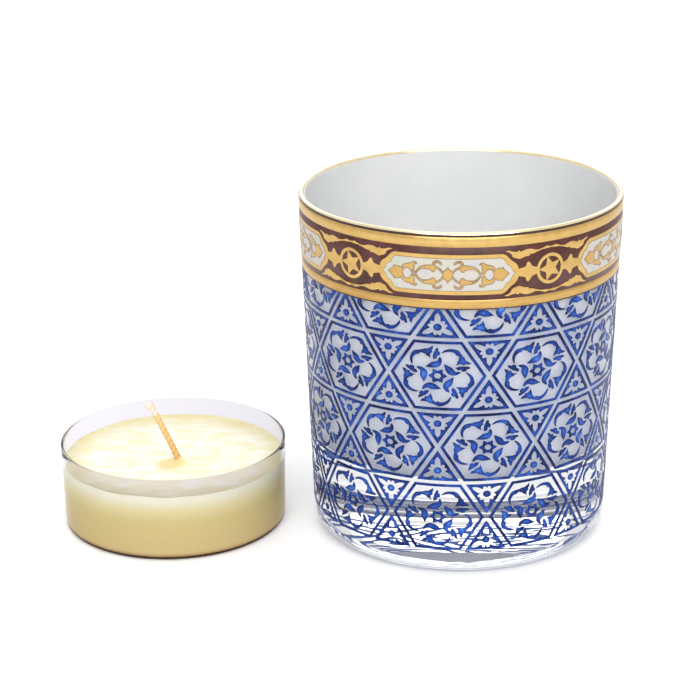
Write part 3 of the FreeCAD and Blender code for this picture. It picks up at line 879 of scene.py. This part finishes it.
def make_lattice():
    """Four rows of hexagons, each row turned half a hexagon from the one below, with triangles
    between them. The gilded band cuts the top row off."""
    borders = Print(ROOTED, PRINT_PROUD)
    flowers = Print(ROOTED, PRINT_PROUD + 0.03, dome=0.4)
    fields = Print(ROOTED, PRINT_PROUD, dome=0.2)
    inset = STRAP_WIDTH / 2.0
    third = HEX_SIDE / math.sqrt(3.0) / 2.0
    triangle = ngon(HEX_SIDE / math.sqrt(3.0) - inset * 2.0, 3, 90.0)
    for row in range(4):
        middle = LINE_BOTTOM + (row + 0.5) * ROW_HEIGHT
        top = PRINT_TOP if row == 3 else None
        shift = 180.0 / HEX_COUNT if row % 2 else 0.0
        turns = [t + shift for t in ALL_ROUND]
        between = [t + 180.0 / HEX_COUNT for t in turns]
        rings = [ngon(HEX_SIDE - inset * 2.0 / math.sqrt(3.0), 6),
                 ngon(HEX_SIDE - (inset + BORDER_WIDTH) * 2.0 / math.sqrt(3.0), 6)]
        borders.stamp([divided(r, 0.8) for r in rings], LATTICE, middle, turns, top)
        flowers.stamp([centre_star(), ngon(0.72, 20)], LATTICE, middle, turns, top, grain=0.6)
        for arm in range(5):
            for shape in (inner_leaf(), outer_spray(), outer_bud()):
                flowers.stamp([turned(shape, -72.0 * arm)], LATTICE, middle, turns, top,
                              grain=0.55)
        upright = middle - ROW_HEIGHT / 2.0 + third
        hanging = middle + ROW_HEIGHT / 2.0 - third
        fields.stamp([divided(triangle, 0.8), trefoil()], LATTICE, upright, between, top,
                     grain=0.6)
        fields.stamp([ngon(0.88, 18)], LATTICE, upright, between, top, grain=0.5)
        if hanging < PRINT_TOP:
            fields.stamp([divided(flipped(triangle, up=True), 0.8), flipped(trefoil(), up=True)],
                         LATTICE, hanging, between, grain=0.6)
            fields.stamp([ngon(0.88, 18)], LATTICE, hanging, between, grain=0.5)
    # Each print's underside gets the brighter blue, painted as light shining through the enamel.
    borders.finish("lattice_borders", BLUE, ("blue_hexagon_borders",), BLUE_PAINTED_BACKLIGHT)
    flowers.finish("lattice_rosettes", BLUE, ("blue_rosettes",), BLUE_PAINTED_BACKLIGHT)
    fields.finish("lattice_triangles", BLUE, ("blue_trefoil_triangles",),
                  BLUE_PAINTED_BACKLIGHT)


def divided(points, step):
    """The same outline with its long sides split into short ones."""
    found = []
    for (ax, ay), (bx, by) in zip(points, points[1:] + points[:1]):
        parts = max(1, int(math.hypot(bx - ax, by - ay) / step))
        found += [(ax + (bx - ax) * i / parts, ay + (by - ay) * i / parts)
                  for i in range(parts)]
    return found


# ---- the gilded band

BAND = 1.0 / RIM_RADIUS
CARTOUCHES = [CARTOUCHE_TURN + 360.0 * i / BAND_COUNT for i in range(BAND_COUNT)]
ROUNDELS = [t + 180.0 / BAND_COUNT for t in CARTOUCHES]


def quartered(corner):
    """A closed outline from its upper right quarter, top to right-hand tip."""
    right = corner + [(x, -y) for x, y in corner[-2::-1]]
    whole = right + [(-x, -y) for x, y in right]
    return [p for p, before in zip(whole, whole[-1:] + whole) if math.dist(p, before) > 1e-6]


def frame_outside():
    """The outer edge of a cartouche's frame, with a step before each pointed end."""
    return quartered(curve_through([(13.0, 5.0), (13.9, 4.6), (14.8, 3.7), (15.6, 2.95)])
                     + curve_through([(16.1, 2.7), (16.8, 1.9), (17.15, 1.0), (17.5, 0.5)])
                     + [(17.9, 0.0)])


def panel_edge():
    """The inner edge of a cartouche's frame, round the thin line and the panel."""
    return quartered(curve_through([(12.6, 4.1), (13.4, 3.75), (13.9, 3.0), (14.2, 2.4)])
                     + curve_through([(14.8, 2.15), (15.3, 1.65), (15.55, 0.95)])
                     + curve_through([(15.9, 0.5), (16.4, 0.0)]))


def star_points():
    """A five-pointed star, one point to the left, its tips on the ring."""
    found = []
    for i in range(5):
        found += turned([(3.25, 0.0), (1.5 * math.cos(math.pi / 5), 1.5 * math.sin(math.pi / 5))],
                        180.0 + 72.0 * i)
    return found


def finial():
    """The pointed leaf that joins a roundel to a cartouche."""
    upper = [(3.6, 0.0), (3.7, 0.75)]
    upper += curve_through([(3.9, 0.9), (4.5, 1.05), (5.15, 1.4), (5.6, 2.05), (6.05, 2.5)])
    upper += curve_through([(6.15, 2.48), (6.55, 2.15), (6.75, 1.45), (7.4, 1.15), (8.2, 1.0),
                            (8.7, 0.8), (9.2, 0.75)])
    return both_sides(upper)


def spray():
    """The wavy leaf that runs from the knot over a roundel towards a cartouche."""
    return outline([(0.75, 5.75), (1.3, 5.85), (2.0, 5.6), (3.0, 5.3), (4.2, 5.25), (5.4, 5.6),
                    (6.6, 5.65), (7.6, 5.35), (8.25, 5.15)],
                   [(8.25, 5.15), (8.6, 5.55), (8.9, 5.3), (9.4, 5.25), (10.3, 5.4), (11.3, 5.7),
                    (12.1, 5.55)],
                   [(12.1, 5.55), (11.2, 5.25), (10.5, 4.7), (10.15, 4.0), (9.3, 3.65),
                    (8.4, 3.4), (7.6, 3.65), (6.8, 3.9), (6.0, 3.95)],
                   [(6.0, 3.95), (5.7, 4.35), (4.9, 4.4), (3.8, 4.75), (2.6, 5.1), (1.5, 5.2),
                    (0.75, 5.2)],
                   [(0.75, 5.2), (0.75, 5.75)])


def knot():
    """The little tie between two leaf sprays."""
    return outline([(-0.55, 5.75), (0.0, 5.6), (0.55, 5.75)],
                   [(0.55, 5.75), (0.7, 5.5), (0.55, 5.2)],
                   [(0.55, 5.2), (0.0, 5.35), (-0.55, 5.2)],
                   [(-0.55, 5.2), (-0.7, 5.5), (-0.55, 5.75)])


def lozenge():
    """The small four-sided flower in the middle of a panel."""
    quarter = curve_through([(0.0, 1.95), (0.35, 1.4), (0.85, 1.05)])
    quarter += curve_through([(0.95, 0.95), (1.12, 0.5), (1.18, 0.0)])
    return quartered(quarter)


def scroll():
    """The long leaf scroll between the lozenge and the knot, upper right quarter."""
    return outline([(1.2, 0.75), (1.6, 1.35), (2.2, 1.8), (2.9, 2.1)],
                   [(2.9, 2.1), (3.15, 2.6), (2.9, 3.0), (2.35, 3.05), (1.85, 2.75)],
                   [(1.85, 2.75), (1.5, 2.6), (1.55, 3.05), (2.1, 3.45), (3.0, 3.5), (3.6, 3.05),
                    (3.7, 2.4)],
                   [(3.7, 2.4), (4.6, 2.35), (5.7, 2.2), (6.8, 1.7), (7.6, 0.85), (8.1, 0.35)],
                   [(8.1, 0.35), (7.7, 0.15), (7.2, 0.75), (6.6, 1.2), (5.9, 1.45), (5.0, 1.4),
                    (4.1, 1.2)],
                   [(4.1, 1.2), (3.8, 0.85), (3.35, 0.8), (3.05, 1.15)],
                   [(3.05, 1.15), (2.9, 1.6), (2.3, 1.4), (1.7, 0.95), (1.4, 0.45)],
                   [(1.4, 0.45), (1.2, 0.75)])


def hook():
    """The hooked leaf between the knot and the palmette, upper right quarter."""
    return outline([(8.15, 0.3), (8.3, 0.9), (8.15, 1.6), (8.2, 2.35)],
                   [(8.2, 2.35), (7.9, 2.6), (7.5, 2.5)],
                   [(7.5, 2.5), (7.7, 2.9), (8.3, 3.0), (8.8, 2.75), (9.3, 2.45)],
                   [(9.3, 2.45), (10.2, 2.3), (10.9, 1.95), (11.3, 1.3)],
                   [(11.3, 1.3), (11.0, 0.4)],
                   [(11.0, 0.4), (10.75, 0.9), (10.2, 1.35), (9.6, 1.3), (9.1, 0.85), (8.7, 0.15)],
                   [(8.7, 0.15), (8.15, 0.3)])


def palmette():
    """The pointed flower that closes the arabesque at its right-hand end."""
    upper = curve_through([(11.05, 0.9), (11.5, 1.25), (12.2, 1.5), (12.9, 1.5), (13.2, 1.75)])
    upper += curve_through([(13.45, 1.2), (13.9, 0.75), (14.3, 0.4), (14.75, 0.0)])
    return both_sides([(11.0, 0.0)] + upper)


def ornament(name, shapes, turns, proud, dome, grain, material, nodes):
    """One print of the gilded band: every shape, a list of its outlines, at every turn."""
    layer = Print(ROOTED, proud, dome)
    for shape in shapes:
        layer.stamp(shape, BAND, BAND_MIDDLE, turns, grain=grain)
    layer.finish(name, material, nodes)


def mirrored(shape):
    """A shape and its three mirror images."""
    return [flipped(shape, left, low) for left in (False, True) for low in (False, True)]


def make_ornament():
    """The cartouches, roundels and leaves printed over the brown ground."""
    edge = divided(panel_edge(), 0.7)
    ornament("frames", [[divided(frame_outside(), 0.7), edge]], CARTOUCHES, ORNAMENT_PROUD, 0.25,
             0.7, GOLD, ("cartouche_frames",))
    ornament("panel_lines", [[edge, divided(swollen(panel_edge(), -0.14), 0.7)]], CARTOUCHES,
             ORNAMENT_PROUD - 0.02, 0.0, 0.7, SEPIA, ())
    ornament("panels", [[divided(swollen(panel_edge(), -0.13), 0.7)]], CARTOUCHES,
             ORNAMENT_PROUD - 0.04, 0.0, 0.8, SILVER, ("cartouche_panels",))

    arabesque = [lozenge(), palmette(), flipped(palmette(), across=True)]
    arabesque += mirrored(scroll()) + mirrored(hook())
    ornament("scrolls", [[shape] for shape in arabesque], CARTOUCHES, SCROLL_PROUD, 0.3, 0.5,
             DEEP_GOLD, ("cartouche_scrolls",))
    ornament("scroll_lines", [[swollen(shape, 0.14)] for shape in arabesque], CARTOUCHES,
             ORNAMENT_PROUD, 0.0, 0.5, SEPIA, ())

    ring = [ngon(ROUNDEL_RADIUS, 60), ngon(ROUNDEL_RADIUS - ROUNDEL_RING, 60)]
    ornament("rings", [ring], ROUNDELS, ORNAMENT_PROUD, 0.3, 0.5, GOLD, ("roundel_rings",))
    ornament("stars", [[divided(star_points(), 0.5)]], ROUNDELS, ORNAMENT_PROUD, 0.3, 0.5, GOLD,
             ("roundel_stars",))
    leaves = [finial(), flipped(finial(), across=True), knot(), flipped(knot(), up=True)]
    leaves += mirrored(spray())
    ornament("leaves", [[shape] for shape in leaves], ROUNDELS, ORNAMENT_PROUD, 0.3, 0.5, GOLD,
             ("gold_leaves",))


# ---- the candle

def cup_radius(height):
    """Outside radius of the cup's wall at a height."""
    return CUP_FOOT_RADIUS + (CUP_RIM_RADIUS - CUP_FOOT_RADIUS) * height / CUP_HEIGHT


def make_cup():
    """A thin-walled cup with a rounded lip."""
    lip = CUP_WALL / 2.0
    profile = [(0.0, 0.0)]
    profile += straight((0.0, 0.0), (CUP_FOOT_RADIUS - CUP_CORNER, 0.0), 5)
    profile += arc((CUP_FOOT_RADIUS - CUP_CORNER, CUP_CORNER), CUP_CORNER, -90, 0, 10)
    profile += straight((cup_radius(CUP_CORNER), CUP_CORNER),
                        (cup_radius(CUP_HEIGHT - lip), CUP_HEIGHT - lip), 8)
    profile += arc((cup_radius(CUP_HEIGHT) - lip, CUP_HEIGHT - lip), lip, 0, 180, 10)
    profile += straight((cup_radius(CUP_HEIGHT) - CUP_WALL, CUP_HEIGHT - lip),
                        (cup_radius(CUP_CORNER) - CUP_WALL, CUP_CORNER), 8)
    profile += arc((CUP_FOOT_RADIUS - CUP_CORNER, CUP_CORNER), CUP_CORNER - CUP_WALL, 0, -90, 8)
    profile += straight((CUP_FOOT_RADIUS - CUP_CORNER, CUP_WALL), (0.0, CUP_WALL), 5)
    profile += [(0.0, CUP_WALL)]
    points, faces = lathe(profile, CANDLE_SIDES, (CANDLE_X, CANDLE_Y))
    mesh_object("cup", points, faces, PLASTIC, "candle", ("candle_cup",))


def wax_top(x, y):
    """Height of the poured surface: dished, creeping up the wall, with a mound at the wick."""
    radius = math.hypot(x, y)
    creep = 0.4 * math.exp((radius - 28.6) / 0.8)
    away = math.hypot(x - WICK_X, y - WICK_Y)
    mound = 1.0 * math.exp(-(away / 2.2) ** 2)
    hollow = -0.35 * math.exp(-((away - 6.0) / 3.0) ** 2)
    ripple = 0.22 * noise.noise(Vector((x * 0.16, y * 0.16, 3.0)))
    fine = 0.05 * noise.noise(Vector((x * 0.7, y * 0.9, 8.0)))
    return WAX_LEVEL - 0.1 + creep + mound + hollow + ripple + fine


def make_wax():
    """Rooted a little in the cup's wall, so that no air shows between them."""
    inner = CUP_WALL + ROOTED
    profile = [(0.0, inner)]
    profile += straight((0.0, inner), (CUP_FOOT_RADIUS - CUP_CORNER, inner), 5)
    profile += arc((CUP_FOOT_RADIUS - CUP_CORNER, CUP_CORNER), CUP_CORNER - CUP_WALL - ROOTED,
                   -90, 0, 8)
    profile += straight((cup_radius(CUP_CORNER) - CUP_WALL - ROOTED, CUP_CORNER),
                        (cup_radius(WAX_LEVEL) - CUP_WALL - ROOTED, WAX_LEVEL), 10)
    edge = cup_radius(WAX_LEVEL) - CUP_WALL - ROOTED
    rings = 60
    profile += [(edge * (1.0 - (i / rings)), WAX_LEVEL) for i in range(rings)]
    profile += [(0.0, WAX_LEVEL)]
    points, faces = lathe(profile, CANDLE_SIDES)
    raised = []
    for x, y, z in points:
        height = wax_top(x, y) if z > WAX_LEVEL - 1e-6 else z
        raised.append((x + CANDLE_X, y + CANDLE_Y, height))
    piece = mesh_object("wax_fill", raised, faces, WAX, "candle", ("wax",))
    sharpen(piece, 50.0)


def wick_line(height):
    """Where the wick's middle runs: up through the wax, then leaning over."""
    lean = max(0.0, height - WICK_BENDS_AT)
    bend = lean * lean / (lean + 2.0)
    return Vector((CANDLE_X + WICK_X - WICK_LEAN * bend, CANDLE_Y + WICK_Y + 0.05 * bend, height))


def make_wick():
    """Three twisted strands, with a bead of wax at the tip."""
    points = []
    faces = []
    sides = 10
    steps = 120
    bottom = CUP_WALL + 0.1
    for strand in range(STRAND_COUNT):
        start = len(points)
        for i in range(steps + 1):
            height = bottom + (WICK_TIP - bottom) * i / steps
            twist = 2.0 * math.pi * (strand / STRAND_COUNT + height / STRAND_PITCH)
            outward = Vector((math.cos(twist), math.sin(twist), 0.0))
            centre = wick_line(height) + outward * STRAND_OFFSET
            for k in range(sides):
                angle = 2.0 * math.pi * k / sides
                fray = 1.0 + 0.06 * noise.noise(Vector((height * 3.0, k * 1.7, strand * 9.0)))
                reach = STRAND_RADIUS * fray
                points.append((centre.x + reach * math.cos(angle),
                               centre.y + reach * math.sin(angle), height))
        for i in range(steps):
            for k in range(sides):
                a = start + i * sides + k
                b = start + i * sides + (k + 1) % sides
                faces.append((a, b, b + sides, a + sides))
        faces.append(tuple(start + k for k in range(sides))[::-1])
        faces.append(tuple(start + steps * sides + k for k in range(sides)))
    mesh_object("wick_strands", points, faces, COTTON, "candle", ("wick",))

    make_bead(wick_line(WICK_TIP) + Vector((-0.1, 0.0, -0.75)))


def make_bead(centre):
    """The bead of wax on the wick's tip: a small ball, a little lumpy."""
    rings = 10
    angles = [math.pi * i / rings for i in range(rings + 1)]
    points, faces = lathe([(BEAD_RADIUS * math.sin(a), -math.cos(a)) for a in angles], 16)
    lumpy = []
    for x, y, z in points:
        away = max(math.hypot(x, y), 1e-9)
        ring = math.acos(-z) * rings / math.pi
        lump = 1.0 + 0.12 * noise.noise(Vector((2.0 * x / away, 2.0 * y / away, ring)))
        lumpy.append((centre.x + x * lump, centre.y + y * lump, centre.z + z))
    mesh_object("wick_tip_wax", lumpy, faces, COTTON, "candle", ())


# ---- stage, lights and camera

def make_stage():
    """A wide pale disc just under the foot, so that the two don't coincide."""
    mesh = bpy.data.meshes.new("floor")
    bm = bmesh.new()
    bmesh.ops.create_circle(bm, cap_ends=True, segments=96, radius=4.0)
    bm.to_mesh(mesh)
    bm.free()
    mesh.materials.append(pale_floor())
    floor = bpy.data.objects.new("floor", mesh)
    floor.location.z = -0.0002
    bpy.context.scene.collection.objects.link(floor)


def area_light(name, place, target, width, height, power):
    """A soft rectangular lamp, in metres and watts, that the camera doesn't see."""
    lamp = bpy.data.lights.new(name, "AREA")
    lamp.shape = "RECTANGLE"
    lamp.size = width
    lamp.size_y = height
    lamp.energy = power
    light = bpy.data.objects.new(name, lamp)
    light.location = place
    aim = Vector(target) - Vector(place)
    light.rotation_mode = "QUATERNION"
    light.rotation_quaternion = aim.to_track_quat("-Z", "Y")
    light.visible_camera = False
    bpy.context.scene.collection.objects.link(light)


def make_lights():
    """A bright even studio: a white world, and soft lamps in front, behind and above."""
    world = bpy.data.worlds.new("studio")
    world.use_nodes = True
    bpy.context.scene.world = world
    back = world.node_tree.nodes["Background"]
    back.inputs["Color"].default_value = (0.98, 0.985, 1.0, 1.0)
    back.inputs["Strength"].default_value = 0.8
    area_light("front", (0.1, -1.1, 0.85), (0, 0, 0.04), 1.5, 0.6, 16.5)
    area_light("back", (0.0, 1.3, 0.75), (0, 0, 0.05), 1.8, 0.7, 6.0)
    area_light("top", (0.0, 0.0, 1.3), (0, 0, 0), 1.0, 1.0, 2.5)


def make_camera():
    """In front and about 20 degrees above, turned a little to the left."""
    data = bpy.data.cameras.new("camera")
    data.sensor_width = 36.0
    data.lens = CAMERA_LENS
    data.clip_start = 0.01
    data.clip_end = 20.0
    camera = bpy.data.objects.new("camera", data)
    yaw = math.radians(CAMERA_YAW)
    pitch = math.radians(CAMERA_PITCH)
    ahead = Vector((math.sin(yaw) * math.cos(pitch), math.cos(yaw) * math.cos(pitch),
                    -math.sin(pitch)))
    aim = ahead.to_track_quat("-Z", "Y").to_matrix().to_4x4()
    tilt = Matrix.Rotation(math.radians(CAMERA_ROLL), 4, "Z")
    camera.matrix_world = Matrix.Translation(CAMERA_PLACE) @ aim @ tilt
    bpy.context.scene.collection.objects.link(camera)
    bpy.context.scene.camera = camera


# ---- build

def finish_carried_nodes():
    """CAD nodes that stay visible get their own material."""
    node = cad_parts["wick_sustainer"]
    node.data.materials.clear()
    node.data.materials.append(TIN)


make_glass()
make_lining()
make_bands()
make_lip()
make_lattice()
make_ornament()
make_cup()
make_wax()
make_wick()
finish_carried_nodes()
make_stage()
make_lights()
make_camera()
bpy.context.scene.view_settings.view_transform = "Standard"

bpy.context.view_layer.update()
